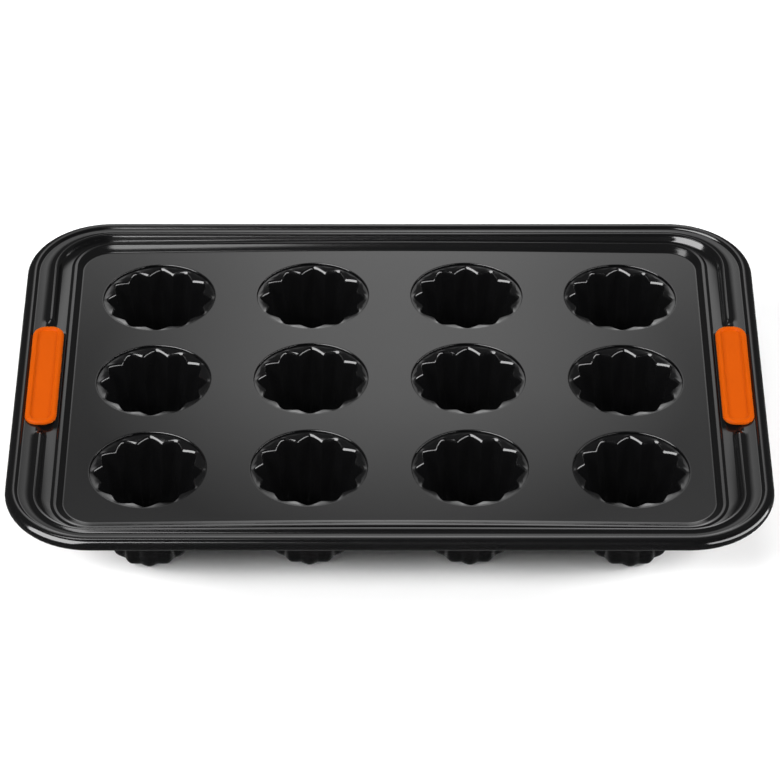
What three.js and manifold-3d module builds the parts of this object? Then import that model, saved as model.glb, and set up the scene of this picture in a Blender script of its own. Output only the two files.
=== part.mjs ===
// Canele pan: a pressed steel tray with a wired rim, twelve fluted moulds seamed under its holes, and two
// soft grips set in the side flanges. Millimetres, +Z up, +Y to the back.
// The origin lies on the table, under the middle of the pan.
import * as THREE from "three";
import Module from "manifold-3d";
import { mergeVertices } from "three/addons/utils/BufferGeometryUtils.js";

const wasm = await Module();
wasm.setup();

// Layout of the moulds
const COLUMNS = 4;
const ROWS = ["front", "middle", "back"];
const WEB_X = 21.3; // plate between two holes of a row
const WEB_Y = 12.3; // plate between two rows of holes
const MARGIN_X = 11.2; // plate between the outer holes and the wall, at the sides
const MARGIN_Y = 10.4; // the same at the front and the back

// Sheet and clearances
const SHEET = 1; // tray
const MOULD_SHEET = 0.8; // moulds
const SEAM_GAP = 0.3; // under the plate, above the flange of a mould
const GRIP_GAP = 0.3; // around the grip, in its slot and on its seat
const WIRE_GAP = 0.3; // between the wire and the curl of the rim

// Mould, measured inside unless said otherwise
const FLUTES = 12;
const MOULD_DEPTH = 48; // from the top of the plate to the underside of the base
const MOUTH_RADIUS = 27; // to the tips of the flutes
const MOUTH_FLUTE = 3.6; // from tip to ridge
const BASE_RADIUS = 19.8; // to the tips, where the wall turns into the base
const BASE_FLUTE = 2.6;
const FLOOR_FLUTE = 2; // at the edge of the flat floor
const BASE_BEVEL = 3.4;
const WALL_RUN = 1.1; // thickness of the fluted wall along the radius
const EDGE_OUT = 0.6; // how far the mouth opens at the tips, above the wall
const EDGE_RIDGE_OUT = 1.8; // how far the mouth opens at the ridges
const EDGE_FALL = 1.2; // height of that opening
const LEDGE_FALL = 0.3; // slope of the ledge from the seam to the mouth
const LEDGE = 0.75; // ledge left in view at the tips
const SEAM_OVERLAP = 3.2; // flange of a mould under the plate
const HOLE_EASE = 0.5; // eased edge of a hole

// Flange of the tray: heights above the plate
const LIP_HEIGHT = 1.8;
const GROOVE_HEIGHT = 1;
const INNER_STRIP_HEIGHT = 1.4;
const RIB_HEIGHT = 3.2;
const STRIP_HEIGHT = 2.3;
const RIM_HEIGHT = 3.6;

// Flange of the tray: widths at the sides, outwards from the foot of the wall
const SIDE_WALL = 3.9;
const SIDE_LIP_FALL = 2.1;
const SIDE_INNER_STRIP = 5.2;
const SIDE_RIB_RISE = 2.6;
const SIDE_RIB_FALL = 2.8;
const SIDE_STRIP = 4.92;

// Flange of the tray: the same at the front and the back
const END_WALL = 5.3;
const END_LIP_FALL = 2.2;
const END_INNER_STRIP = 0.4;
const END_RIB_RISE = 2.1;
const END_RIB_FALL = 1.6;
const END_STRIP = 2.32;

const RIB_TOP = 1; // flat top of the rib
const SEAT_EDGE = 1; // slope from the groove up to the flat seat of a grip

// Rim and corners
const ROLL_RADIUS = 3.15; // outside of the curl
const CURL_END = -150; // degrees, where the curl stops under the rim
const CURL_STEPS = 9;
const WIRE_SIDES = 8;
const PLATE_CORNER = 15;
const RIM_CORNER = 42;
const CORNER_STEPS = 6;

// Grips
const GRIP_WIDTH = 15.5;
const GRIP_LENGTH = 77.5;
const GRIP_CORNER = 6.5;
const GRIP_RISE = 2.4; // above its seat
const GRIP_ROUND = 1.2;
const GRIP_BORDER = 2.6; // raised border around the panel
const PANEL_DROP = 0.5;
const PANEL_SLOPE = 0.4;
const NECK_WIDTH = 8.4; // the part of the grip that passes through the slot
const NECK_LENGTH = 66;
const NECK_CORNER = 4;
const BACK_WIDTH = 12.8; // the part under the flange
const BACK_LENGTH = 74;
const BACK_CORNER = 5.5;
const BACK_THICKNESS = 1.8;
const BACK_ROUND = 0.6;
const RIB_END_GAP = 1.5; // from the end of a grip to the end of a rib
const RIB_END_RAMP = 3;

// Sizes that follow
const HOLE_RADIUS = MOUTH_RADIUS + EDGE_OUT + LEDGE;
const FLANGE_RADIUS = HOLE_RADIUS + SEAM_OVERLAP;
const PITCH_X = 2 * HOLE_RADIUS + WEB_X;
const PITCH_Y = 2 * HOLE_RADIUS + WEB_Y;
const PLATE_HALF_X = ((COLUMNS - 1) / 2) * PITCH_X + HOLE_RADIUS + MARGIN_X;
const PLATE_HALF_Y = ((ROWS.length - 1) / 2) * PITCH_Y + HOLE_RADIUS + MARGIN_Y;
const PLATE_TOP = MOULD_DEPTH;
const ROLL_HEIGHT = RIM_HEIGHT - ROLL_RADIUS; // centre of the curl, above the plate
const POINTS_PER_FLUTE = 3; // two at the blunt tip and one on the ridge
const ROUND_STEPS = FLUTES * POINTS_PER_FLUTE;
const ROUND_START = Math.PI / ROUND_STEPS; // puts the tips on the X and Y axes

const COATED_STEEL = { color: 0x2b2b2c, roughness: 0.42, metalness: 0.55 };
const MOULD_STEEL = { color: 0x1d1d1e, roughness: 0.36, metalness: 0.55 };
const PLAIN_STEEL = { color: 0x8b8d90, roughness: 0.35, metalness: 1 };
const SILICONE = { color: 0xe85c08, roughness: 0.55, metalness: 0 };

// Solids that are cut and handed back

function toSolid(geometry) {
  const bare = geometry.clone();
  bare.deleteAttribute("normal");
  bare.deleteAttribute("uv");
  const merged = mergeVertices(bare, 1e-4);
  const mesh = new wasm.Mesh({
    numProp: 3,
    vertProperties: new Float32Array(merged.attributes.position.array),
    triVerts: new Uint32Array(merged.index.array),
  });
  return new wasm.Manifold(mesh);
}

function toGeometry(solid) {
  const mesh = solid.getMesh();
  const geometry = new THREE.BufferGeometry();
  geometry.setAttribute("position", new THREE.BufferAttribute(mesh.vertProperties, 3));
  geometry.setIndex(new THREE.BufferAttribute(mesh.triVerts, 1));
  return geometry;
}

// Joins loops of equally many points, one to the next. An open stack is capped at both ends, its first loop
// facing up and its last one down. A ring of loops joins its last loop to its first.
function loft(loops, ring = false) {
  const count = loops[0].length;
  const positions = loops.flat().flatMap((point) => [point.x, point.y, point.z]);
  const index = [];
  const spans = ring ? loops.length : loops.length - 1;
  for (let k = 0; k < spans; k += 1) {
    const here = k * count;
    const there = ((k + 1) % loops.length) * count;
    for (let i = 0; i < count; i += 1) {
      const next = (i + 1) % count;
      index.push(here + i, there + i, there + next);
      index.push(here + i, there + next, here + next);
    }
  }
  if (!ring) {
    const last = (loops.length - 1) * count;
    for (const [a, b, c] of THREE.ShapeUtils.triangulateShape(loops[0], [])) {
      index.push(a, b, c);
    }
    for (const [a, b, c] of THREE.ShapeUtils.triangulateShape(loops.at(-1), [])) {
      index.push(last + a, last + c, last + b);
    }
  }
  const geometry = new THREE.BufferGeometry();
  geometry.setAttribute("position", new THREE.Float32BufferAttribute(positions, 3));
  geometry.setIndex(index);
  return geometry;
}

// A rounded rectangle about the origin, counterclockwise from the right-hand side
function roundedLoop(width, length, corner, z) {
  const loop = [];
  for (let quarter = 0; quarter < 4; quarter += 1) {
    const signX = quarter === 0 || quarter === 3 ? 1 : -1;
    const signY = quarter < 2 ? 1 : -1;
    for (let step = 0; step <= CORNER_STEPS; step += 1) {
      const angle = (quarter + step / CORNER_STEPS) * (Math.PI / 2);
      const x = signX * (width / 2 - corner) + corner * Math.cos(angle);
      const y = signY * (length / 2 - corner) + corner * Math.sin(angle);
      loop.push(new THREE.Vector3(x, y, z));
    }
  }
  return loop;
}

// Section of the flange

const SIDE_WIDTHS = [
  SIDE_WALL,
  SIDE_LIP_FALL,
  SIDE_INNER_STRIP,
  SIDE_RIB_RISE,
  RIB_TOP,
  SIDE_RIB_FALL,
  SIDE_STRIP,
];
const END_WIDTHS = [END_WALL, END_LIP_FALL, END_INNER_STRIP, END_RIB_RISE, RIB_TOP, END_RIB_FALL, END_STRIP];
const SEAT_WIDTHS = [
  SIDE_WALL,
  SIDE_LIP_FALL,
  SEAT_EDGE,
  SIDE_INNER_STRIP - SEAT_EDGE + SIDE_RIB_RISE,
  RIB_TOP,
  SIDE_RIB_FALL,
  SIDE_STRIP,
];
const RIBBED = [LIP_HEIGHT, GROOVE_HEIGHT, INNER_STRIP_HEIGHT, RIB_HEIGHT, RIB_HEIGHT, STRIP_HEIGHT, STRIP_HEIGHT];
const SEATED = [LIP_HEIGHT, GROOVE_HEIGHT, STRIP_HEIGHT, STRIP_HEIGHT, STRIP_HEIGHT, STRIP_HEIGHT, STRIP_HEIGHT];

// The upper face from the foot of the wall to the end of the curl: x runs outwards, y is the height
function flangeTop(widths, heights) {
  const points = [new THREE.Vector2(0, 0)];
  let run = 0;
  widths.forEach((width, i) => {
    run += width;
    points.push(new THREE.Vector2(run, heights[i]));
  });
  const start = Math.PI - Math.asin((STRIP_HEIGHT - ROLL_HEIGHT) / ROLL_RADIUS);
  const end = THREE.MathUtils.degToRad(CURL_END);
  const centre = run - ROLL_RADIUS * Math.cos(start);
  for (let step = 1; step <= CURL_STEPS; step += 1) {
    const angle = THREE.MathUtils.lerp(start, end, step / CURL_STEPS);
    const x = centre + ROLL_RADIUS * Math.cos(angle);
    const y = ROLL_HEIGHT + ROLL_RADIUS * Math.sin(angle);
    points.push(new THREE.Vector2(x, y));
  }
  return { points, centre };
}

// The lower face: the upper one moved by the sheet's thickness, corner by corner
function flangeUnder(points) {
  return points.map((point, i) => {
    const plate = new THREE.Vector2(1, 0);
    const before = i > 0 ? point.clone().sub(points[i - 1]).normalize() : plate;
    const after = i < points.length - 1 ? points[i + 1].clone().sub(point).normalize() : before;
    const along = before.clone().add(after).normalize();
    const reach = SHEET / along.dot(before);
    return new THREE.Vector2(point.x + along.y * reach, point.y - along.x * reach);
  });
}

function flangeSection(widths, heights) {
  const top = flangeTop(widths, heights);
  const under = flangeUnder(top.points).reverse();
  return { points: [...top.points, ...under], centre: top.centre };
}

const SIDE = flangeSection(SIDE_WIDTHS, RIBBED);
const END = flangeSection(END_WIDTHS, RIBBED);
const SEAT = flangeSection(SEAT_WIDTHS, SEATED);
const RIB_LINE = SIDE_WALL + SIDE_LIP_FALL + SIDE_INNER_STRIP + SIDE_RIB_RISE + RIB_TOP / 2;

// Along each side the rib stops short of the grip, where the flange is a flat seat
const SEAT_HALF = GRIP_LENGTH / 2 + RIB_END_GAP;
const SIDE_STOPS = [
  { y: -SEAT_HALF - RIB_END_RAMP, section: SIDE },
  { y: -SEAT_HALF, section: SEAT },
  { y: SEAT_HALF, section: SEAT },
  { y: SEAT_HALF + RIB_END_RAMP, section: SIDE },
];

function cornerRadius(run) {
  return THREE.MathUtils.mapLinear(run, 0, SIDE.centre + ROLL_RADIUS, PLATE_CORNER, RIM_CORNER);
}

// One line of the flange all the way round the tray: point k of each section
function flangeLoop(k) {
  const side = SIDE.points[k];
  const end = END.points[k];
  const corner = cornerRadius(side.x);
  const halfX = PLATE_HALF_X + side.x;
  const halfY = PLATE_HALF_Y + end.x;
  const loop = [];
  for (let quarter = 0; quarter < 4; quarter += 1) {
    const signX = quarter === 0 || quarter === 3 ? 1 : -1;
    const signY = quarter < 2 ? 1 : -1;
    if (quarter % 2 === 0) {
      for (const stop of SIDE_STOPS) {
        const at = stop.section.points[k];
        loop.push(new THREE.Vector3(signX * (PLATE_HALF_X + at.x), signX * stop.y, PLATE_TOP + at.y));
      }
    }
    for (let step = 0; step <= CORNER_STEPS; step += 1) {
      const angle = (quarter + step / CORNER_STEPS) * (Math.PI / 2);
      const x = signX * (halfX - corner) + corner * Math.cos(angle);
      const y = signY * (halfY - corner) + corner * Math.sin(angle);
      const height = THREE.MathUtils.lerp(side.y, end.y, Math.sin(angle) ** 2);
      loop.push(new THREE.Vector3(x, y, PLATE_TOP + height));
    }
  }
  return loop;
}

// Places of the moulds, front row first and left to right

function mouldPlaces() {
  return ROWS.flatMap((row, j) =>
    Array.from({ length: COLUMNS }, (_, i) => ({
      name: `mould_${row}_${i + 1}`,
      x: (i - (COLUMNS - 1) / 2) * PITCH_X,
      y: (j - (ROWS.length - 1) / 2) * PITCH_Y,
    })),
  );
}

// Tray

function holeCutter(place) {
  const profile = [
    new THREE.Vector2(0, -2 * SHEET),
    new THREE.Vector2(HOLE_RADIUS, -2 * SHEET),
    new THREE.Vector2(HOLE_RADIUS, -HOLE_EASE),
    new THREE.Vector2(HOLE_RADIUS + HOLE_EASE, 0),
    new THREE.Vector2(HOLE_RADIUS + HOLE_EASE, SHEET),
    new THREE.Vector2(0, SHEET),
  ];
  const cutter = new THREE.LatheGeometry(profile, ROUND_STEPS, ROUND_START);
  return cutter.rotateX(Math.PI / 2).translate(place.x, place.y, PLATE_TOP);
}

function slotCutter(sign) {
  const width = NECK_WIDTH + 2 * GRIP_GAP;
  const length = NECK_LENGTH + 2 * GRIP_GAP;
  const corner = NECK_CORNER + GRIP_GAP;
  const top = roundedLoop(width, length, corner, PLATE_TOP + STRIP_HEIGHT + SHEET);
  const bottom = roundedLoop(width, length, corner, PLATE_TOP + STRIP_HEIGHT - 2 * SHEET);
  return loft([top, bottom]).translate(sign * (PLATE_HALF_X + RIB_LINE), 0, 0);
}

function trayGeometry() {
  let tray = toSolid(loft(SIDE.points.map((_, k) => flangeLoop(k))));
  for (const place of mouldPlaces()) {
    tray = tray.subtract(toSolid(holeCutter(place)));
  }
  for (const sign of [-1, 1]) {
    tray = tray.subtract(toSolid(slotCutter(sign)));
  }
  return toGeometry(tray);
}

// Wire inside the curl of the rim

function wireGeometry() {
  const radius = ROLL_RADIUS - SHEET - WIRE_GAP;
  const loops = [];
  for (let step = 0; step < WIRE_SIDES; step += 1) {
    const angle = (-step / WIRE_SIDES) * 2 * Math.PI;
    const out = radius * Math.cos(angle);
    const width = 2 * (PLATE_HALF_X + SIDE.centre + out);
    const length = 2 * (PLATE_HALF_Y + END.centre + out);
    const z = PLATE_TOP + ROLL_HEIGHT + radius * Math.sin(angle);
    loops.push(roundedLoop(width, length, cornerRadius(SIDE.centre + out), z));
  }
  return loft(loops, true);
}

// Mould: a turned shell whose wall is drawn in between the tips of the flutes

function mouldProfile() {
  const floor = MOULD_SHEET - MOULD_DEPTH;
  const wallFoot = floor + BASE_BEVEL;
  const flangeTopZ = -SHEET - SEAM_GAP;
  const edge = flangeTopZ - LEDGE_FALL;
  const wallHead = edge - EDGE_FALL;
  const baseOutside = BASE_RADIUS + WALL_RUN;
  const baseEdge = baseOutside - BASE_BEVEL - MOULD_SHEET;
  const edgeFlute = MOUTH_FLUTE - EDGE_RIDGE_OUT + EDGE_OUT;
  return [
    { radius: 0, flute: 0, z: -MOULD_DEPTH },
    { radius: baseEdge, flute: FLOOR_FLUTE, z: -MOULD_DEPTH },
    { radius: baseOutside, flute: BASE_FLUTE, z: wallFoot },
    { radius: MOUTH_RADIUS + WALL_RUN, flute: MOUTH_FLUTE, z: wallHead },
    { radius: MOUTH_RADIUS + EDGE_OUT + WALL_RUN, flute: edgeFlute, z: edge - MOULD_SHEET },
    { radius: FLANGE_RADIUS, flute: 0, z: flangeTopZ - MOULD_SHEET },
    { radius: FLANGE_RADIUS, flute: 0, z: flangeTopZ },
    { radius: MOUTH_RADIUS + EDGE_OUT, flute: edgeFlute, z: edge },
    { radius: MOUTH_RADIUS, flute: MOUTH_FLUTE, z: wallHead },
    { radius: BASE_RADIUS, flute: BASE_FLUTE, z: wallFoot },
    { radius: BASE_RADIUS - BASE_BEVEL, flute: FLOOR_FLUTE, z: floor },
    { radius: 0, flute: 0, z: floor },
  ];
}

function mouldGeometry() {
  const profile = mouldProfile();
  const outline = profile.map((point) => new THREE.Vector2(point.radius, point.z));
  const shell = new THREE.LatheGeometry(outline, ROUND_STEPS, ROUND_START);
  const position = shell.attributes.position;
  for (let i = 0; i < position.count; i += 1) {
    const meridian = Math.floor(i / profile.length);
    const point = profile[i % profile.length];
    const onRidge = meridian % POINTS_PER_FLUTE === 1;
    if (onRidge && point.flute > 0) {
      const drawnIn = 1 - point.flute / point.radius;
      position.setX(i, position.getX(i) * drawnIn);
      position.setZ(i, position.getZ(i) * drawnIn);
    }
  }
  shell.deleteAttribute("normal");
  shell.deleteAttribute("uv");
  return mergeVertices(shell.rotateX(Math.PI / 2), 1e-4);
}

// Grip: a pad with a sunk panel, a neck through the slot and a back that holds it under the flange

function gripGeometry() {
  const seat = STRIP_HEIGHT + GRIP_GAP;
  const top = STRIP_HEIGHT + GRIP_RISE;
  const under = STRIP_HEIGHT - SHEET - GRIP_GAP;
  const pad = (inset, z) =>
    roundedLoop(GRIP_WIDTH - 2 * inset, GRIP_LENGTH - 2 * inset, GRIP_CORNER - inset, PLATE_TOP + z);
  const neck = (z) => roundedLoop(NECK_WIDTH, NECK_LENGTH, NECK_CORNER, PLATE_TOP + z);
  const back = (inset, z) =>
    roundedLoop(BACK_WIDTH - 2 * inset, BACK_LENGTH - 2 * inset, BACK_CORNER - inset, PLATE_TOP + z);
  return loft([
    pad(GRIP_BORDER + PANEL_SLOPE, top - PANEL_DROP),
    pad(GRIP_BORDER, top),
    pad(GRIP_ROUND, top),
    pad(0, top - GRIP_ROUND),
    pad(0, seat),
    neck(seat),
    neck(under),
    back(0, under),
    back(0, under - BACK_THICKNESS + BACK_ROUND),
    back(BACK_ROUND, under - BACK_THICKNESS),
  ]);
}

// The pan

function piece(name, geometry, look) {
  const mesh = new THREE.Mesh(geometry, new THREE.MeshStandardMaterial(look));
  mesh.name = name;
  return mesh;
}

const pan = new THREE.Group();
pan.name = "canele_pan";
pan.add(piece("tray", trayGeometry(), COATED_STEEL));
pan.add(piece("rim_wire", wireGeometry(), PLAIN_STEEL));

for (const place of mouldPlaces()) {
  const mould = piece(place.name, mouldGeometry(), MOULD_STEEL);
  mould.position.set(place.x, place.y, PLATE_TOP);
  pan.add(mould);
}

for (const [name, sign] of [["grip_left", -1], ["grip_right", 1]]) {
  const grip = piece(name, gripGeometry(), SILICONE);
  grip.position.x = sign * (PLATE_HALF_X + RIB_LINE);
  pan.add(grip);
}

export default pan;
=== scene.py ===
# %% [markdown]
# # A canele pan
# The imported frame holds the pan's solids: a pressed tray, the wire in its rim, twelve fluted moulds and two grips.
# Their sizes and places are right, but their faces are flat facets. This lesson builds a finer skin for each piece, in
# the same place, and gives it a finish. The frame is loaded first and is never moved.

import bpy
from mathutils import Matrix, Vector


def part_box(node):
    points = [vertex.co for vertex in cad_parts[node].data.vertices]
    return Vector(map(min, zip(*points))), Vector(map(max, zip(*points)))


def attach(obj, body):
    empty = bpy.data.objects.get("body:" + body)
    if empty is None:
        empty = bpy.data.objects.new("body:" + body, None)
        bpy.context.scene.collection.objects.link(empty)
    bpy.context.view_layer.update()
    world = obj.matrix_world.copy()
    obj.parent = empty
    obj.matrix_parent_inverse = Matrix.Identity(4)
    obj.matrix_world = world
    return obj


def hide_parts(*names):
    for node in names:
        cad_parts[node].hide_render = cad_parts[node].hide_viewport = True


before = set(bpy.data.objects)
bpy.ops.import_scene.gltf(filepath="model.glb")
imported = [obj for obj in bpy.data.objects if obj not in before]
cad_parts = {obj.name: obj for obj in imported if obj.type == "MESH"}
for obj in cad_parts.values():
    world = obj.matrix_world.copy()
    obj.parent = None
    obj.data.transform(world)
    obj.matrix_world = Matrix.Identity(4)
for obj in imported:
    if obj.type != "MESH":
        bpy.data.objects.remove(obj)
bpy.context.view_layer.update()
print("solids in the frame:", len(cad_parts))

# %% Blender's own tools
from collections import namedtuple
from math import atan2, cos, exp, hypot, pi, radians, sin

import bmesh
import bpy
from mathutils import Vector

MM = 0.001
scene = bpy.context.scene

# %% [markdown]
# ## Camera
# The pan is seen from the front, from about 38 degrees above the table. The rows of moulds hardly shrink towards the
# back, so the lens is long and stands two metres away. A camera can be turned by hand until the picture looks right,
# or fitted to the rings of the moulds. These numbers were fitted, because a fit settles distance and lens together.

# %% Camera
PICTURE_PIXELS = 780
SENSOR_WIDTH = 36.0
FOCAL_PIXELS = 4456.3
EYE_DISTANCE = 2.2
EYE_ELEVATION = radians(38.29)
AIM_POINT = Vector((0.19, -9.71, 50.0)) * MM

camera_data = bpy.data.cameras.new("camera")
camera_data.sensor_width = SENSOR_WIDTH
camera_data.lens = FOCAL_PIXELS * SENSOR_WIDTH / PICTURE_PIXELS
camera = bpy.data.objects.new("camera", camera_data)
camera.location = AIM_POINT + EYE_DISTANCE * Vector((0, -cos(EYE_ELEVATION), sin(EYE_ELEVATION)))
camera.rotation_euler = (pi / 2 - EYE_ELEVATION, 0, 0)
scene.collection.objects.link(camera)
scene.camera = camera
print("lens in mm:", round(camera_data.lens, 1))

# %% [markdown]
# ## Coating
# Tray and moulds carry the same baked non-stick coating: nearly black, satin, with the fine orange peel of a sprayed
# film and faint patches where it has been wiped. Both finishes share these marks, so they are one node group that each
# material places with its own values. The texture reads Object coordinates, in metres, so a grain of half a millimetre
# has a scale near 2000.


# %% Helper for nodes
def add_node(tree, kind, inputs=None, **settings):
    node = tree.nodes.new(kind)
    for name, value in settings.items():
        setattr(node, name, value)
    for name, value in (inputs or {}).items():
        node.inputs[name].default_value = value
    return node


def new_group(name, inputs, outputs):
    group = bpy.data.node_groups.new(name, "ShaderNodeTree")
    for label, value in inputs.items():
        socket = group.interface.new_socket(label, in_out="INPUT", socket_type="NodeSocketFloat")
        socket.default_value = value
    for label in outputs:
        group.interface.new_socket(label, in_out="OUTPUT", socket_type="NodeSocketFloat")
    return group, add_node(group, "NodeGroupInput"), add_node(group, "NodeGroupOutput")


# %% Sprayed film, a group for both coatings
film, film_in, film_out = new_group(
    "sprayed_film",
    {"Peel Scale": 900.0, "Fleck Scale": 2600.0, "Wipe Scale": 14.0},
    ["Fleck", "Wipe", "Peel"],
)
film_place = add_node(film, "ShaderNodeTexCoord")
for mark, detail in [("Peel", 2.0), ("Fleck", 1.0), ("Wipe", 4.0)]:
    noise = add_node(film, "ShaderNodeTexNoise", {"Detail": detail})
    film.links.new(film_place.outputs["Object"], noise.inputs["Vector"])
    film.links.new(film_in.outputs[mark + " Scale"], noise.inputs["Scale"])
    film.links.new(noise.outputs["Fac"], film_out.inputs[mark])
print("group made:", film.name)


# %% Coated steel
def coated_steel(name, dark, light, satin, peel_height):
    finish = bpy.data.materials.new(name)
    finish.use_nodes = True
    tree = finish.node_tree
    shader = tree.nodes["Principled BSDF"]
    marks = add_node(tree, "ShaderNodeGroup", node_tree=film)
    tone = add_node(tree, "ShaderNodeMix", {"A": dark, "B": light}, data_type="RGBA")
    gloss_range = {"From Min": 0.3, "From Max": 0.7, "To Min": satin[0], "To Max": satin[1]}
    gloss = add_node(tree, "ShaderNodeMapRange", gloss_range)
    bump = add_node(tree, "ShaderNodeBump", {"Strength": 1.0, "Distance": peel_height * MM})
    tree.links.new(marks.outputs["Fleck"], tone.inputs["Factor"])
    tree.links.new(tone.outputs["Result"], shader.inputs["Base Color"])
    tree.links.new(marks.outputs["Wipe"], gloss.inputs["Value"])
    tree.links.new(gloss.outputs["Result"], shader.inputs["Roughness"])
    tree.links.new(marks.outputs["Peel"], bump.inputs["Height"])
    tree.links.new(bump.outputs["Normal"], shader.inputs["Normal"])
    return finish


SATIN = (0.12, 0.15)
PEEL_HEIGHT = 0.0015
tray_coating = coated_steel(
    "baked_coating_tray", (0.002, 0.002, 0.0021, 1), (0.004, 0.004, 0.0042, 1), SATIN, PEEL_HEIGHT
)
mould_coating = coated_steel(
    "baked_coating_mould", (0.0024, 0.0024, 0.0026, 1), (0.0042, 0.0042, 0.0044, 1), SATIN, PEEL_HEIGHT
)
print("coatings:", tray_coating.name, mould_coating.name)

# %% [markdown]
# ## Silicone and wire
# The grips are matt orange silicone with the fine, even tooth of a sandblasted mould. It hardly mirrors anything, and
# a soft sheen lights it where it turns away. The wire in the rim is drawn steel, whose marks run along it. It is out of
# sight from above. Fine noise gives the first, and noise on stretched coordinates gives the second.

# %% Silicone
grip_silicone = bpy.data.materials.new("orange_silicone")
grip_silicone.use_nodes = True
silicone = grip_silicone.node_tree
silicone_shader = silicone.nodes["Principled BSDF"]
silicone_shader.inputs["IOR"].default_value = 1.42
silicone_shader.inputs["Specular IOR Level"].default_value = 0.04
silicone_shader.inputs["Sheen Weight"].default_value = 0.2
silicone_shader.inputs["Sheen Roughness"].default_value = 0.4
silicone_shader.inputs["Sheen Tint"].default_value = (1.0, 0.55, 0.08, 1)
silicone_place = add_node(silicone, "ShaderNodeTexCoord")
silicone_tooth = add_node(silicone, "ShaderNodeTexNoise", {"Scale": 1800.0, "Detail": 2.0})
silicone_cloud = add_node(silicone, "ShaderNodeTexNoise", {"Scale": 60.0, "Detail": 3.0})
silicone_tone = add_node(
    silicone, "ShaderNodeMix", {"A": (0.385, 0.052, 0.0003, 1), "B": (0.425, 0.060, 0.0004, 1)}, data_type="RGBA"
)
silicone_gloss = add_node(silicone, "ShaderNodeMapRange", {"To Min": 0.42, "To Max": 0.58})
silicone_bump = add_node(silicone, "ShaderNodeBump", {"Strength": 1.0, "Distance": 0.008 * MM})
silicone.links.new(silicone_place.outputs["Object"], silicone_tooth.inputs["Vector"])
silicone.links.new(silicone_place.outputs["Object"], silicone_cloud.inputs["Vector"])
silicone.links.new(silicone_cloud.outputs["Fac"], silicone_tone.inputs["Factor"])
silicone.links.new(silicone_tone.outputs["Result"], silicone_shader.inputs["Base Color"])
silicone.links.new(silicone_tooth.outputs["Fac"], silicone_gloss.inputs["Value"])
silicone.links.new(silicone_gloss.outputs["Result"], silicone_shader.inputs["Roughness"])
silicone.links.new(silicone_tooth.outputs["Fac"], silicone_bump.inputs["Height"])
silicone.links.new(silicone_bump.outputs["Normal"], silicone_shader.inputs["Normal"])
print("finish made:", grip_silicone.name)

# %% Drawn wire
wire_steel = bpy.data.materials.new("drawn_steel")
wire_steel.use_nodes = True
drawn = wire_steel.node_tree
drawn_shader = drawn.nodes["Principled BSDF"]
drawn_shader.inputs["Metallic"].default_value = 1.0
drawn_place = add_node(drawn, "ShaderNodeTexCoord")
drawn_lines = add_node(drawn, "ShaderNodeMapping", {"Scale": (60.0, 60.0, 2500.0)})
drawn_noise = add_node(drawn, "ShaderNodeTexNoise", {"Scale": 1.0, "Detail": 3.0})
drawn_tone = add_node(
    drawn, "ShaderNodeMix", {"A": (0.42, 0.43, 0.44, 1), "B": (0.58, 0.59, 0.60, 1)}, data_type="RGBA"
)
drawn_gloss = add_node(drawn, "ShaderNodeMapRange", {"To Min": 0.25, "To Max": 0.45})
drawn.links.new(drawn_place.outputs["Object"], drawn_lines.inputs["Vector"])
drawn.links.new(drawn_lines.outputs["Vector"], drawn_noise.inputs["Vector"])
drawn.links.new(drawn_noise.outputs["Fac"], drawn_tone.inputs["Factor"])
drawn.links.new(drawn_tone.outputs["Result"], drawn_shader.inputs["Base Color"])
drawn.links.new(drawn_noise.outputs["Fac"], drawn_gloss.inputs["Value"])
drawn.links.new(drawn_gloss.outputs["Result"], drawn_shader.inputs["Roughness"])
print("finish made:", wire_steel.name)

# %% [markdown]
# ## Loops that grow
# Every piece of this pan is a stack of closed loops: the section of the flange carried round the tray, the profile of a
# mould carried round its axis, the edge of a grip carried round its outline. So each one starts as a circle of
# corners, and grows by extruding its outer loop and moving the new corners to their places. A number on each corner,
# its station, says where along the loop it stands. The extrusion copies that number, so no list of faces is needed.


# %% Helpers for loops
def smoothstep(low, high, value):
    share = min(max((value - low) / (high - low), 0.0), 1.0)
    return share * share * (3 - 2 * share)


def blend(start, end, share):
    return start + (end - start) * share


def first_loop(shape, station, count, place):
    made = bmesh.ops.create_circle(shape, cap_ends=False, radius=1.0, segments=count)["verts"]
    made.sort(key=lambda corner: atan2(corner.co.y, corner.co.x))
    for number, corner in enumerate(made):
        corner[station] = number
        corner.co = place(number)
    return list(dict.fromkeys(edge for corner in made for edge in corner.link_edges))


def next_loop(shape, station, loop, place):
    made = bmesh.ops.extrude_edge_only(shape, edges=loop)["geom"]
    corners = {item for item in made if isinstance(item, bmesh.types.BMVert)}
    for corner in corners:
        corner.co = place(corner[station])
    return [item for item in made if isinstance(item, bmesh.types.BMEdge) and corners.issuperset(item.verts)]


# %% Helper that turns a shape into a piece
def face_up(shape, height):
    """Turn the skin so that its faces near this height, which lie flat, look up."""
    bmesh.ops.recalc_face_normals(shape, faces=shape.faces)
    flat = max(shape.faces, key=lambda face: abs(face.normal.z) * (abs(face.calc_center_median().z - height) < 3))
    if flat.normal.z < 0:
        bmesh.ops.reverse_faces(shape, faces=shape.faces)


def make_piece(name, shape, finish, node, wall=0.0, even=True):
    bmesh.ops.scale(shape, vec=(MM, MM, MM), verts=shape.verts)
    mesh = bpy.data.meshes.new(name)
    shape.to_mesh(mesh)
    shape.free()
    mesh.shade_smooth()
    mesh.materials.append(finish)
    piece = bpy.data.objects.new(name, mesh)
    scene.collection.objects.link(piece)
    if wall:
        sheet = piece.modifiers.new("sheet", "SOLIDIFY")
        sheet.thickness = wall * MM
        sheet.offset = -1.0
        sheet.use_even_offset = even
    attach(piece, "root")
    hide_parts(node)
    print(name, "faces:", len(mesh.polygons))
    return piece


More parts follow.
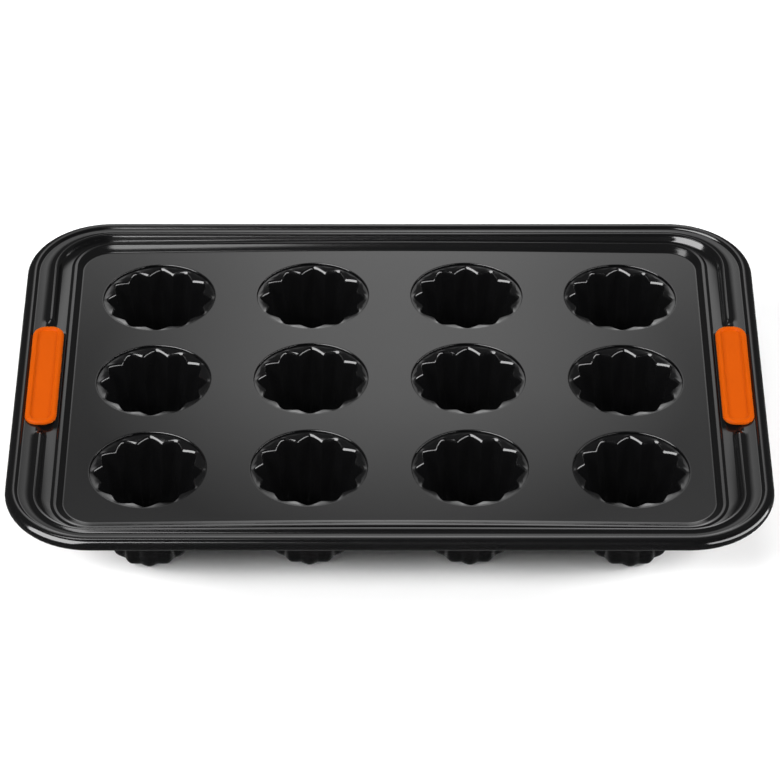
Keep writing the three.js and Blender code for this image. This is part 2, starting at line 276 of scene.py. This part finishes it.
# %% [markdown]
# ## Crown of the plate
# The plate isn't quite flat. Pressing leaves it a little higher in the middle, so the pan stands on its four corner
# moulds, while the wired rim stays straight. The crown is about two millimetres, but a satin plate shows it: the light
# on it changes from the middle to the edges. It could be sculpted, but a parabola each way says it in one line. Towards
# the corners, where the wall holds the plate, the fall is eased.

# %% Crown
PLATE_TOP = 48.0
CROWN_RISE = 2.0
CROWN_X = 2.35 / 156**2  # a fall of 2.35 mm at 156 mm from the middle
CROWN_Y = 1.6 / 106**2
CROWN_EASE, CROWN_LAST = 2.2, 1.8


def crown(x, y):
    fall = CROWN_X * x * x + CROWN_Y * y * y
    if fall > CROWN_EASE:
        fall = CROWN_EASE + CROWN_LAST * (1 - exp((CROWN_EASE - fall) / CROWN_LAST))
    return CROWN_RISE - fall


print("crown at a corner mould:", round(crown(117, 69), 2))

# %% [markdown]
# ## Section of the flange
# From the plate outwards the sheet climbs a low wall to a lip, falls into a groove, runs flat, rises over a rib, runs
# flat again and curls into the rim, which is nearly flat on top and round outside. The sides are wider than the front
# and the back. A bevel on a plain section would give every bend the same radius. Here each bend is eased by its own
# reach, because thin light lines run along every rounded edge of the real pan. A section is a list of points: how far
# out, how high, and how much of the rib it carries.

# %% Section points
SectionPoint = namedtuple("SectionPoint", "run level rib")
STRIP_HEIGHT = 2.7
RIB_TOP = 3.5
RIB_FLAT = 0.22
RIB_STEPS = 18
SUPPORT = 0.2
BEND_SUPPORT = 0.3
ROLL_HEIGHT = 0.65
ROLL_IN, ROLL_TOP, ROLL_BOTTOM = 2.6, 3.1, 3.9
ROLL_SQUARE_IN, ROLL_SQUARE_OUT = 3.5, 2.1
ROLL_START, ROLL_END = radians(115), radians(-150)
ROLL_STEPS = 34


def eased_corner(before, corner, after, reach, steps=5):
    """Points of a soft bend at a corner of the section."""
    before, corner, after = Vector(before), Vector(corner), Vector(after)
    start = corner + (before - corner).normalized() * min(reach, 0.45 * (before - corner).length)
    end = corner + (after - corner).normalized() * min(reach, 0.45 * (after - corner).length)
    points = []
    for step in range(steps + 1):
        share = step / steps
        points.append(start.lerp(corner, share).lerp(corner.lerp(end, share), share))
    return points


def eased_line(corners, reaches):
    """Points from the first corner to the last, with a soft bend at each corner between them."""
    first, second = Vector(corners[0]), Vector(corners[1])
    points = [first, second + (first - second).normalized() * (reaches[0] + BEND_SUPPORT)]
    for number, reach in enumerate(reaches):
        points += eased_corner(*corners[number : number + 3], reach)
    return points + [Vector(corners[-1])]


def rib_share(distance):
    """How much of the rib stands here: 1 on its flat top, 0 at its foot."""
    share = min(max((distance - RIB_FLAT) / (1 - RIB_FLAT), 0.0), 1.0)
    return 1 - blend(share, smoothstep(0, 1, share), 0.5)


def roll_point(centre, out, angle):
    """A point of the rim's curl: flat on top towards the strip, round on the outside."""
    if sin(angle) < 0:
        return centre + (out if cos(angle) > 0 else ROLL_IN) * cos(angle), ROLL_HEIGHT + ROLL_BOTTOM * sin(angle)
    power = 2 / (ROLL_SQUARE_OUT if cos(angle) > 0 else ROLL_SQUARE_IN)
    wide = abs(cos(angle)) ** power * (out if cos(angle) > 0 else -ROLL_IN)
    return centre + wide, ROLL_HEIGHT + ROLL_TOP * sin(angle) ** power


def flange_section(inner, reaches, rib_in, rib_out, slot_out, crease, roll_centre, roll_out):
    section = [SectionPoint(run, level, 0.0) for run, level in eased_line(inner, reaches)]
    section.append(SectionPoint(rib_in - SUPPORT, inner[-1][1], 0.0))
    for step in range(RIB_STEPS + 1):
        share = step / RIB_STEPS
        level = blend(inner[-1][1], STRIP_HEIGHT, smoothstep(0, 1, share))
        section.append(SectionPoint(blend(rib_in, rib_out, share), level, rib_share(abs(2 * share - 1))))
    turns = [blend(ROLL_START, ROLL_END, step / ROLL_STEPS) for step in range(ROLL_STEPS + 1)]
    roll = [roll_point(roll_centre, roll_out, turn) for turn in turns]
    line = eased_line([(slot_out, STRIP_HEIGHT), (crease, STRIP_HEIGHT), roll[0]], [0.6])
    return section + [SectionPoint(run, level, 0.0) for run, level in line + roll[1:]]


# %% Sections at the sides and at the ends
RIB_LINE, RIB_HALF = 13.75, 2.95
SLOT_LINE, SLOT_HALF_WIDTH = 14.3, 4.5
SIDE_GROOVE = 5.8
SIDE_ROLL, SIDE_ROLL_OUT = 24.7, 3.55
END_ROLL, END_ROLL_OUT = 17.55, 3.15
SIDE = flange_section(
    [(-4.5, 0), (0.8, 0), (1.8, 0.9), (2.9, 1.71), (4.95, 1.81), (SIDE_GROOVE, 1.35)]
    + [(SLOT_LINE - SLOT_HALF_WIDTH, 1.38)],
    [0.9, 0.6, 0.45, 0.45, 0.4],
    RIB_LINE - RIB_HALF, RIB_LINE + RIB_HALF, SLOT_LINE + SLOT_HALF_WIDTH, 22.5, SIDE_ROLL, SIDE_ROLL_OUT,
)
END = flange_section(
    [(-4.5, 0), (0.4, 0), (2.4, 0.95), (4.7, 1.8), (6.0, 1.84), (7.0, 1.2), (7.2, 1.2)],
    [0.5, 1.0, 0.6, 0.45, 0.1],
    7.45, 13.0, 13.5, 15.35, END_ROLL, END_ROLL_OUT,
)
print("section points:", len(SIDE), len(END))

# %% [markdown]
# ## Loop of stations
# One loop of the flange is a rounded rectangle. Its stations are close together in the corners and where the rib ends
# at a grip, and far apart where the edge runs straight. Even steps would be simpler, but they would waste faces on the
# straights. The pan is the same in its four quarters, so the stations of one quarter are listed, from the middle of the
# right side to the middle of the back, and mirrored. Near a grip the rib ends in a round nose, and under the pad the
# strip rises to a flat seat. The corner radius grows from the plate to the rim.

# %% Stations
PLATE_HALF_X, PLATE_HALF_Y = 156.55, 107.75
PLATE_CORNER, RIM_CORNER = 15.0, 42.0
CORNER_STEPS = 18
SLOT_HALF_LENGTH = 33.3
RIB_NOSE, NOSE_STRETCH = 46.4, 1.5
SEAT_IN, SEAT_OUT = 33.6, 38.6
SEAT_RISE = -0.2, 1.4
LIFT_RANGE = 0.2, 0.75
Station = namedtuple("Station", "kind at")

side_places = [SLOT_HALF_LENGTH * step / 11 for step in range(12)]
side_places += [35.0, 37.0, 38.8, 40.6, 41.8, 42.6, 43.3, 44.0, 44.7, 45.4, 46.4, 48.5, 52.0, 62.0, 75.0]
end_places = [137.0 - 59.0 * step / 14 for step in range(14)] + [78.0 - 78.0 * step / 24 for step in range(25)]
QUARTER = [Station("side", place) for place in side_places]
QUARTER += [Station("corner", pi / 2 * step / CORNER_STEPS) for step in range(CORNER_STEPS + 1)]
QUARTER += [Station("end", place) for place in end_places]
STATIONS = [(spot, 1, 1) for spot in QUARTER[:-1]] + [(spot, -1, 1) for spot in QUARTER[:0:-1]]
STATIONS += [(spot, -1, -1) for spot in QUARTER[:-1]] + [(spot, 1, -1) for spot in QUARTER[:0:-1]]
print("stations in a quarter and on a loop:", len(QUARTER) - 1, len(STATIONS))


# %% Places on the flange
def corner_radius(run):
    return PLATE_CORNER + (RIM_CORNER - PLATE_CORNER) * run / (SIDE_ROLL + SIDE_ROLL_OUT)


def outline(spot, side_run, end_run):
    """Where a station of the first quarter stands, this far out from the plate."""
    if spot.kind == "side":
        return PLATE_HALF_X + side_run, spot.at
    if spot.kind == "end":
        return spot.at, PLATE_HALF_Y + end_run
    radius = corner_radius(side_run)
    x = PLATE_HALF_X + side_run - radius + radius * cos(spot.at)
    y = PLATE_HALF_Y + end_run - radius + radius * sin(spot.at)
    return x, y


def side_height(point, y):
    past_nose = max(0.0, RIB_NOSE - y) / NOSE_STRETCH
    rib = rib_share(hypot(point.run - RIB_LINE, past_nose) / RIB_HALF)
    level = point.level
    if point.run < RIB_LINE + RIB_HALF:
        seat = 1 - smoothstep(SEAT_IN, SEAT_OUT, y)
        rise = smoothstep(SIDE_GROOVE + SEAT_RISE[0], SIDE_GROOVE + SEAT_RISE[1], point.run)
        level = blend(level, STRIP_HEIGHT, seat * rise)
    return blend(level, RIB_TOP, rib)


RIM_LIFT = crown(0, PLATE_HALF_Y)


def flange_place(number, step):
    spot, sign_x, sign_y = STATIONS[number % len(STATIONS)]
    side, end = SIDE[step], END[step]
    x, y = outline(spot, side.run, end.run)
    share = {"side": 0.0, "end": 1.0}.get(spot.kind, sin(spot.at) ** 2)
    height = blend(side_height(side, y), blend(end.level, RIB_TOP, end.rib), share)
    out = blend(side.run / SIDE_ROLL, end.run / END_ROLL, share)
    foot = outline(spot, 0.0, 0.0) if side.run > 0 else (x, y)
    lift = blend(crown(*foot), RIM_LIFT, smoothstep(*LIFT_RANGE, out))
    return Vector((sign_x * x, sign_y * y, PLATE_TOP + height + lift))


# %% [markdown]
# ## Tray
# The plate has twelve holes, so it is drawn as twelve cells. Each cell grows from the turned-down edge of its hole out
# to an outline that its neighbours share. At the outside of the block that outline is the loop where the flange begins,
# and the flange then grows outwards point by point. A plain fill between the holes would be shorter, but it leaves long
# thin triangles, which show as streaks on a satin surface. The slots under the grips are faces left out.

# %% Outlines of the cells
HOLE_STATIONS = 96
EDGE_STEPS = HOLE_STATIONS // 4

mould_middles = {
    name: (sum(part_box(name), Vector()) / 2 / MM) for name in sorted(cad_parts) if name.startswith("mould_")
}
columns = sorted({round(middle.x, 2) for middle in mould_middles.values()})
rows = sorted({round(middle.y, 2) for middle in mould_middles.values()})
RIGHT_START = -EDGE_STEPS * len(rows) // 2
BACK_START = RIGHT_START + EDGE_STEPS * len(rows)
LEFT_START = BACK_START + EDGE_STEPS * len(columns)
FRONT_START = LEFT_START + EDGE_STEPS * len(rows)


def cell_corner(i, j):
    """Corner of a cell: between four moulds, or on the flange's first loop."""
    if i == len(columns):
        return flange_place(RIGHT_START + EDGE_STEPS * j, 0)
    if j == len(rows):
        return flange_place(BACK_START + EDGE_STEPS * (len(columns) - i), 0)
    if i == 0:
        return flange_place(LEFT_START + EDGE_STEPS * (len(rows) - j), 0)
    if j == 0:
        return flange_place(FRONT_START + EDGE_STEPS * i, 0)
    return Vector(((columns[i - 1] + columns[i]) / 2, (rows[j - 1] + rows[j]) / 2, PLATE_TOP))


def cell_outline(i, j):
    """Points around a cell, from its lower right corner up, back and round."""
    corners = [cell_corner(i + 1, j), cell_corner(i + 1, j + 1), cell_corner(i, j + 1), cell_corner(i, j)]
    starts = [
        RIGHT_START + EDGE_STEPS * j if i == len(columns) - 1 else None,
        BACK_START + EDGE_STEPS * (len(columns) - 1 - i) if j == len(rows) - 1 else None,
        LEFT_START + EDGE_STEPS * (len(rows) - 1 - j) if i == 0 else None,
        FRONT_START + EDGE_STEPS * i if j == 0 else None,
    ]
    points = []
    for edge, start in enumerate(starts):
        for step in range(EDGE_STEPS):
            if start is None:
                points.append(corners[edge].lerp(corners[(edge + 1) % 4], step / EDGE_STEPS))
            else:
                points.append(flange_place(start + step, 0))
    return points


# %% Cells of the plate
HOLE_RADIUS = 28.1
HOLE_TURN = 0.4
HOLE_SUPPORT = 0.4
TURN_STEPS = 6
CELL_STEPS = 7

tray = bmesh.new()
station = tray.verts.layers.int.new("station")


def cell_place(number, step, middle, edge_points):
    angle = 2 * pi * number / HOLE_STATIONS
    turn = pi / 2 * min(step, TURN_STEPS) / TURN_STEPS
    radius = HOLE_RADIUS + HOLE_TURN * (1 - cos(turn)) + (HOLE_SUPPORT if step > TURN_STEPS else 0.0)
    out = max(0, step - TURN_STEPS - 1) / CELL_STEPS
    far = edge_points[(number + EDGE_STEPS // 2) % HOLE_STATIONS]
    x = blend(middle[0] + radius * cos(angle), far.x, out)
    y = blend(middle[1] + radius * sin(angle), far.y, out)
    return Vector((x, y, PLATE_TOP + HOLE_TURN * (sin(turn) - 1) + crown(x, y)))


for i, x in enumerate(columns):
    for j, y in enumerate(rows):
        edge_points = cell_outline(i, j)
        loop = first_loop(tray, station, HOLE_STATIONS, lambda n: cell_place(n, 0, (x, y), edge_points))
        for step in range(1, TURN_STEPS + CELL_STEPS + 2):
            loop = next_loop(tray, station, loop, lambda n: cell_place(n, step, (x, y), edge_points))
print("faces of the plate:", len(tray.faces))

# %% Flange and rim
MERGE_DISTANCE = 0.01
SHEET = 0.8

loop = first_loop(tray, station, len(STATIONS), lambda n: flange_place(n, 0))
for step in range(1, len(SIDE)):
    loop = next_loop(tray, station, loop, lambda n: flange_place(n, step))
bmesh.ops.remove_doubles(tray, verts=tray.verts, dist=MERGE_DISTANCE)
in_slot = []
for face in tray.faces:
    middle = face.calc_center_median()
    across = abs(middle.x) - PLATE_HALF_X - SLOT_LINE
    if abs(across) < SLOT_HALF_WIDTH and abs(middle.y) < SLOT_HALF_LENGTH:
        in_slot.append(face)
bmesh.ops.delete(tray, geom=in_slot, context="FACES")
face_up(tray, PLATE_TOP)
make_piece("tray_skin", tray, tray_coating, "tray", wall=SHEET)

# %% [markdown]
# ## Wire in the rim
# The rim is curled around a wire. It could stay as the frame's solid, but that has only eight sides. Here a round
# section is carried round the same stations, and its last loop is merged with its first.

# %% Wire
WIRE_RADIUS = 1.8
WIRE_SIDES = 20
WIRE_SHIFT = 0.4

wire = bmesh.new()
station = wire.verts.layers.int.new("station")


def wire_place(number, step):
    angle = -2 * pi * step / WIRE_SIDES
    out = WIRE_SHIFT + WIRE_RADIUS * cos(angle)
    spot, sign_x, sign_y = STATIONS[number]
    x, y = outline(spot, SIDE_ROLL + out, END_ROLL + out)
    return Vector((sign_x * x, sign_y * y, PLATE_TOP + ROLL_HEIGHT + RIM_LIFT + WIRE_RADIUS * sin(angle)))


loop = first_loop(wire, station, len(STATIONS), lambda n: wire_place(n, 0))
for step in range(1, WIRE_SIDES + 1):
    loop = next_loop(wire, station, loop, lambda n: wire_place(n, step))
bmesh.ops.remove_doubles(wire, verts=wire.verts, dist=MERGE_DISTANCE)
bmesh.ops.recalc_face_normals(wire, faces=wire.faces)
make_piece("wire_round", wire, wire_steel, "rim_wire")

# %% [markdown]
# ## Moulds
# A canele mould is a deep cup with twelve flutes. Seen from above its mouth is a star: the tips reach nearly to the
# edge of the hole, with straight arms between them and the ridges. A sliver of ledge, hardly sloping, is left beside
# each ridge. From there the sheet slopes to a rounded edge, which draws the bright line around the star, and drops into
# the wall. Twelve cuts in a plain cup would leave the edge sharp. Here each loop is the star at one depth, so the mould
# grows from its flange to its floor. The outside comes from a Solidify modifier, as the sheet has one thickness.

# %% Flutes
FLUTES = 12
FLUTE_STATIONS = 20
MOULD_STATIONS = FLUTES * FLUTE_STATIONS
TIP_ROUND, RIDGE_ROUND = 0.2, 0.14


def flute_wave(across):
    """How far the wall is drawn in: 0 at a tip, 1 on a ridge, straight in between."""
    slope = 1 / (1 - TIP_ROUND / 2 - RIDGE_ROUND / 2)
    if across < TIP_ROUND:
        return slope * across * across / (2 * TIP_ROUND)
    if across > 1 - RIDGE_ROUND:
        return 1 - slope * (1 - across) ** 2 / (2 * RIDGE_ROUND)
    return slope * (across - TIP_ROUND / 2)


def flute_station(number):
    """Angle of a station, and how far the wall is drawn in there."""
    flute, step = divmod(number + FLUTE_STATIONS // 2, FLUTE_STATIONS)
    side = 2 * step / FLUTE_STATIONS - 1
    across = 0.5 - 0.5 * cos(pi * side)
    angle = (flute + (across if side > 0 else -across) / 2) * 2 * pi / FLUTES
    return angle, flute_wave(across)


# %% Profile of a mould
FLANGE_RADIUS = 31.55
LEDGE = -1.0
LEDGE_END, LEDGE_SLIVER, LEDGE_FALL = 27.9, 1.7, 0.17
SLOPE_FALL = 0.6
EDGE_ROUND = 2.6
WALL_HEAD, WALL_FOOT, FLOOR = -2.0, -42.0, -47.2
MOUTH_RADIUS, MOUTH_FLUTE = 25.95, 3.05
BASE_RADIUS, BASE_FLUTE, FLOOR_FLUTE = 19.2, 2.2, 1.5
BASE_BEVEL = 5.2
EDGE_STEPS_DOWN, WALL_STEPS, BASE_STEPS = 9, 9, 6
EDGE_TOP, EDGE_FOOT = radians(52), radians(9)


def wall_at(depth, drawn):
    share = (depth - WALL_HEAD) / (WALL_FOOT - WALL_HEAD)
    return blend(MOUTH_RADIUS, BASE_RADIUS, share) - drawn * blend(MOUTH_FLUTE, BASE_FLUTE, share)


def wall_start(drawn):
    return LEDGE - (LEDGE_FALL + SLOPE_FALL) * drawn - EDGE_ROUND * (sin(EDGE_TOP) - sin(EDGE_FOOT))


def edge_loop(step, out=0.0):
    def at(drawn):
        turn = blend(EDGE_TOP, EDGE_FOOT, step / EDGE_STEPS_DOWN)
        depth = wall_start(drawn)
        radius = wall_at(depth, drawn) + EDGE_ROUND * (cos(EDGE_FOOT) - cos(turn))
        return radius + out, depth + EDGE_ROUND * (sin(turn) - sin(EDGE_FOOT)) + 0.25 * out * drawn

    return at


def wall_loop(step):
    def at(drawn):
        depth = blend(wall_start(drawn), WALL_FOOT, step / WALL_STEPS)
        return wall_at(depth, drawn), depth

    return at


def base_loop(step):
    def at(drawn):
        turn = pi / 2 * step / BASE_STEPS
        radius = BASE_RADIUS - BASE_BEVEL * (1 - cos(turn)) - drawn * blend(BASE_FLUTE, FLOOR_FLUTE, sin(turn))
        return radius, WALL_FOOT + (FLOOR - WALL_FOOT) * sin(turn)

    return at


def plain_loop(radius, depth, flute=0.0, fall=0.0):
    return lambda drawn: (radius - flute * drawn, depth - fall * drawn)


FLANGE_MIDDLE = 29.6
EDGE_SUPPORT = 0.1
FLOOR_EDGE, FLOOR_MIDDLE, MIDDLE_FLUTE = 13.4, 8.0, 0.6

MOULD_LOOPS = [plain_loop(FLANGE_RADIUS, LEDGE), plain_loop(FLANGE_MIDDLE, LEDGE), plain_loop(LEDGE_END + 0.2, LEDGE)]
MOULD_LOOPS += [plain_loop(LEDGE_END + EDGE_SUPPORT, LEDGE, LEDGE_SLIVER - 0.2, LEDGE_FALL - 0.02)]
MOULD_LOOPS += [plain_loop(LEDGE_END, LEDGE, LEDGE_SLIVER, LEDGE_FALL)]
MOULD_LOOPS += [edge_loop(0, EDGE_SUPPORT)] + [edge_loop(step) for step in range(EDGE_STEPS_DOWN + 1)]
MOULD_LOOPS += [wall_loop(step) for step in range(1, WALL_STEPS + 1)]
MOULD_LOOPS += [base_loop(step) for step in range(1, BASE_STEPS + 1)]
MOULD_LOOPS += [plain_loop(FLOOR_EDGE, FLOOR, FLOOR_FLUTE), plain_loop(FLOOR_MIDDLE, FLOOR, MIDDLE_FLUTE)]
MOULD_LOOPS += [plain_loop(0.0, FLOOR)]
print("loops of a mould:", len(MOULD_LOOPS))


# %% The twelve moulds
STRAIGHT_DEPTH, CROWNED_DEPTH = -14.0, -3.0
POLE_MERGE = 0.001


def mould_place(number, loop_shape, middle):
    angle, drawn = flute_station(number)
    radius, depth = loop_shape(drawn)
    x, y = middle.x + radius * cos(angle), middle.y + radius * sin(angle)
    lift = blend(crown(middle.x, middle.y), crown(x, y), smoothstep(STRAIGHT_DEPTH, CROWNED_DEPTH, depth))
    return Vector((x, y, PLATE_TOP + depth + lift))


for name, middle in mould_middles.items():
    mould = bmesh.new()
    station = mould.verts.layers.int.new("station")
    loop = first_loop(mould, station, MOULD_STATIONS, lambda n: mould_place(n, MOULD_LOOPS[0], middle))
    for loop_shape in MOULD_LOOPS[1:]:
        loop = next_loop(mould, station, loop, lambda n: mould_place(n, loop_shape, middle))
    bmesh.ops.remove_doubles(mould, verts=mould.verts, dist=POLE_MERGE)
    face_up(mould, PLATE_TOP + FLOOR)
    cup_name = name.replace("mould", "cup")
    make_piece(cup_name, mould, mould_coating, name, wall=SHEET, even=False)

# %% [markdown]
# ## Grips
# Each grip is one silicone moulding: a long pad with a raised, rounded border around a plain sunk panel, a neck through
# the slot and a back that holds it under the flange. A beveled box would give the pad, but not the border, so the
# outline is carried over the top, down the side and under.

# %% Outline of a grip
GRIP_CORNER_STEPS = 12
GRIP_STATIONS = 4 * GRIP_CORNER_STEPS
Outline = namedtuple("Outline", "width length corner")
PAD = Outline(15.5, 77.5, 6.5)
NECK = Outline(8.4, 66.0, 4.0)
BACK = Outline(12.8, 74.0, 5.5)


def grip_place(number, outline_shape, inset, height, middle_x):
    quarter, step = divmod(number, GRIP_CORNER_STEPS)
    angle = pi / 2 * (quarter + step / (GRIP_CORNER_STEPS - 1))
    corner = max(outline_shape.corner - inset, 0.4)
    sign_x = 1 if quarter in (0, 3) else -1
    sign_y = 1 if quarter in (0, 1) else -1
    x = sign_x * (outline_shape.width / 2 - inset - corner) + corner * cos(angle)
    y = sign_y * (outline_shape.length / 2 - inset - corner) + corner * sin(angle)
    return Vector((middle_x + x, y, PLATE_TOP + height))


# %% Loops of a grip
SEAT_HEIGHT = STRIP_HEIGHT + 0.3
GRIP_TOP = STRIP_HEIGHT + 2.4
UNDER_HEIGHT = STRIP_HEIGHT - 1.3
PANEL_DROP = 1.0
PANEL_EDGE, BORDER_EDGE = 3.1, 2.3
BORDER_ROUND = 1.6

GRIP_LOOPS = [(PAD, 4.2, GRIP_TOP - PANEL_DROP), (PAD, 3.4, GRIP_TOP - PANEL_DROP)]
for step in range(7):
    share = step / 6
    drop = PANEL_DROP * (1 - smoothstep(0, 1, share))
    GRIP_LOOPS.append((PAD, blend(PANEL_EDGE, BORDER_EDGE, share), GRIP_TOP - drop))
for step in range(9):
    turn = pi / 2 * step / 8
    GRIP_LOOPS.append((PAD, BORDER_ROUND * (1 - sin(turn)), GRIP_TOP - BORDER_ROUND * (1 - cos(turn))))
GRIP_LOOPS += [(PAD, 0.0, SEAT_HEIGHT + 0.4), (PAD, 0.1, SEAT_HEIGHT + 0.1), (PAD, 0.4, SEAT_HEIGHT)]
GRIP_LOOPS += [(NECK, 0.0, SEAT_HEIGHT), (NECK, 0.0, UNDER_HEIGHT), (BACK, 0.3, UNDER_HEIGHT)]
GRIP_LOOPS += [(BACK, 0.0, UNDER_HEIGHT - 0.3), (BACK, 0.0, UNDER_HEIGHT - 1.2), (BACK, 0.2, UNDER_HEIGHT - 1.6)]
GRIP_LOOPS += [(BACK, 0.6, UNDER_HEIGHT - 1.8), (BACK, 1.6, UNDER_HEIGHT - 1.8)]

# %% The two grips
for name in ("grip_left", "grip_right"):
    middle_x = sum(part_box(name), Vector()).x / 2 / MM
    grip = bmesh.new()
    station = grip.verts.layers.int.new("station")
    top = loop = first_loop(grip, station, GRIP_STATIONS, lambda n: grip_place(n, *GRIP_LOOPS[0], middle_x))
    for shape_step in GRIP_LOOPS[1:]:
        loop = next_loop(grip, station, loop, lambda n: grip_place(n, *shape_step, middle_x))
    bmesh.ops.contextual_create(grip, geom=top)
    bmesh.ops.contextual_create(grip, geom=loop)
    bmesh.ops.recalc_face_normals(grip, faces=grip.faces)
    make_piece(name + "_pad", grip, grip_silicone, name)

# %% [markdown]
# ## Floor
# The pan stands on a plain white sheet that reaches far past the picture. Only a soft shadow under the front edge shows
# where the pan stands. A curved backdrop would do as well, but from this height its curve is never seen.

# %% Floor
floor_paint = bpy.data.materials.new("floor_paint")
floor_paint.use_nodes = True
floor_paint.node_tree.nodes["Principled BSDF"].inputs["Base Color"].default_value = (0.95, 0.95, 0.95, 1)
floor_paint.node_tree.nodes["Principled BSDF"].inputs["Roughness"].default_value = 0.9
floor_shape = bmesh.new()
bmesh.ops.create_grid(floor_shape, x_segments=1, y_segments=1, size=4.0)
floor_mesh = bpy.data.meshes.new("floor")
floor_shape.to_mesh(floor_mesh)
floor_shape.free()
floor_mesh.materials.append(floor_paint)
floor = bpy.data.objects.new("floor", floor_mesh)
floor.visible_glossy = False
scene.collection.objects.link(floor)

# %% [markdown]
# ## Light
# A black satin object shows its lights more than its own colour. The plate mirrors a lit patch of the wall behind it,
# bright in the middle and fading above and to the sides, so that patch is the world's glow. A panel on the left and
# a lower one on the right draw the bright lines on the rim's corners and on the flutes. They could be one ring of
# light, but the dark between them is what makes the ribs show. The floor is lit from the front and the sides, so that
# its shadow stays under the pan. It is kept out of the reflections, and a faint glow from below stands in for it.


# %% World
def set_stops(ramp, stops):
    ramp.elements[0].position, ramp.elements[1].position = stops[0][0], stops[-1][0]
    for position, value in stops[1:-1]:
        ramp.elements.new(position)
    for element, (position, value) in zip(ramp.elements, stops):
        element.color = (value, value, value, 1)


GLOW_STRENGTH = 2.1
GLOW_WIDTH = 0.15
GLOW_SHIFT = -0.007
world = bpy.data.worlds.new("studio")
world.use_nodes = True
scene.world = world
glow = world.node_tree
glow_place = add_node(glow, "ShaderNodeTexCoord")
glow_axes = add_node(glow, "ShaderNodeSeparateXYZ")
glow_across = add_node(
    glow,
    "ShaderNodeMapRange",
    {"From Min": -GLOW_SHIFT, "From Max": GLOW_WIDTH - GLOW_SHIFT, "To Min": 0.0, "To Max": 1.0},
    clamp=False,
)
glow_above = add_node(glow, "ShaderNodeValToRGB")
glow_point = add_node(glow, "ShaderNodeCombineXYZ")
glow_away = add_node(glow, "ShaderNodeVectorMath", operation="LENGTH")
glow_fade = add_node(glow, "ShaderNodeValToRGB")
glow_behind = add_node(
    glow, "ShaderNodeMapRange", {"From Min": -0.05, "From Max": 0.1, "To Min": 0.08, "To Max": 1.0}
)
glow_mix = add_node(glow, "ShaderNodeMath", operation="MULTIPLY")
set_stops(
    glow_above.color_ramp,
    [(0, 1), (0.04, 0.8), (0.1, 0.72), (0.25, 0.5), (0.36, 0.12), (0.44, 0.12), (0.5, 0.45), (0.56, 0.52)]
    + [(0.6, 0.49), (0.625, 0.45), (0.649, 0.62), (0.665, 0.68), (0.686, 0.815), (0.72, 0.88), (0.85, 1)],
)
set_stops(
    glow_fade.color_ramp,
    [(0, 1.8), (0.15, 1.7), (0.35, 1.02), (0.45, 0.93), (0.55, 0.8), (0.72, 0.5), (0.85, 0.27), (1, 0.04)],
)
glow_under = add_node(
    glow, "ShaderNodeMapRange", {"From Min": -0.1, "From Max": 0.0, "To Min": 0.035, "To Max": 0.0}
)
glow_sum = add_node(glow, "ShaderNodeMath", operation="ADD")
glow.links.new(glow_place.outputs["Generated"], glow_axes.inputs["Vector"])
glow.links.new(glow_axes.outputs["X"], glow_across.inputs["Value"])
glow.links.new(glow_axes.outputs["Z"], glow_above.inputs["Fac"])
glow.links.new(glow_across.outputs["Result"], glow_point.inputs["X"])
glow.links.new(glow_above.outputs["Color"], glow_point.inputs["Y"])
glow.links.new(glow_point.outputs["Vector"], glow_away.inputs["Vector"])
glow.links.new(glow_away.outputs["Value"], glow_fade.inputs["Fac"])
glow.links.new(glow_axes.outputs["Y"], glow_behind.inputs["Value"])
glow.links.new(glow_fade.outputs["Color"], glow_mix.inputs[0])
glow.links.new(glow_behind.outputs["Result"], glow_mix.inputs[1])
glow.links.new(glow_axes.outputs["Z"], glow_under.inputs["Value"])
glow.links.new(glow_mix.outputs["Value"], glow_sum.inputs[0])
glow.links.new(glow_under.outputs["Result"], glow_sum.inputs[1])
glow.links.new(glow_sum.outputs["Value"], glow.nodes["Background"].inputs["Color"])
glow.nodes["Background"].inputs["Strength"].default_value = GLOW_STRENGTH


# %% Panels of light
def light_panel(name, turn, height, distance, size, radiance, for_floor):
    """A light that faces the pan. Its turn, from the back to the right, and its height are in degrees."""
    panel = bpy.data.lights.new(name, "AREA")
    panel.shape = "RECTANGLE"
    panel.size, panel.size_y = size
    panel.energy = radiance * pi * size[0] * size[1]
    lamp = bpy.data.objects.new(name, panel)
    turn, height = radians(turn), radians(height)
    towards = Vector((sin(turn) * cos(height), cos(turn) * cos(height), sin(height)))
    lamp.location = towards * distance
    lamp.rotation_euler = towards.to_track_quat("Z", "Y").to_euler()
    lamp.visible_glossy = not for_floor
    lamp.visible_diffuse = for_floor
    scene.collection.objects.link(lamp)
    return lamp


light_panel("key_left", -140, 41, 2.4, (0.9, 0.5), 34.0, True)
light_panel("key_right", 140, 41, 2.4, (0.9, 0.5), 24.0, True)
light_panel("side_left", -95, 30, 2.4, (0.8, 0.6), 25.0, True)
light_panel("side_right", 95, 30, 2.4, (0.8, 0.6), 25.0, True)
light_panel("key_above", 0, 84, 2.4, (1.0, 1.0), 3.8, True)
light_panel("panel_left", -130, 32, 1.8, (2.0, 1.9), 11.5, False)
light_panel("panel_right", 112, 4, 1.8, (3.2, 1.0), 8.5, False)
light_panel("panel_above", -40, 70, 1.8, (0.5, 0.36), 6.0, False)
print("lights:", [lamp.name for lamp in bpy.data.lights])

# %% Colours as a plain photograph keeps them
scene.view_settings.view_transform = "Standard"
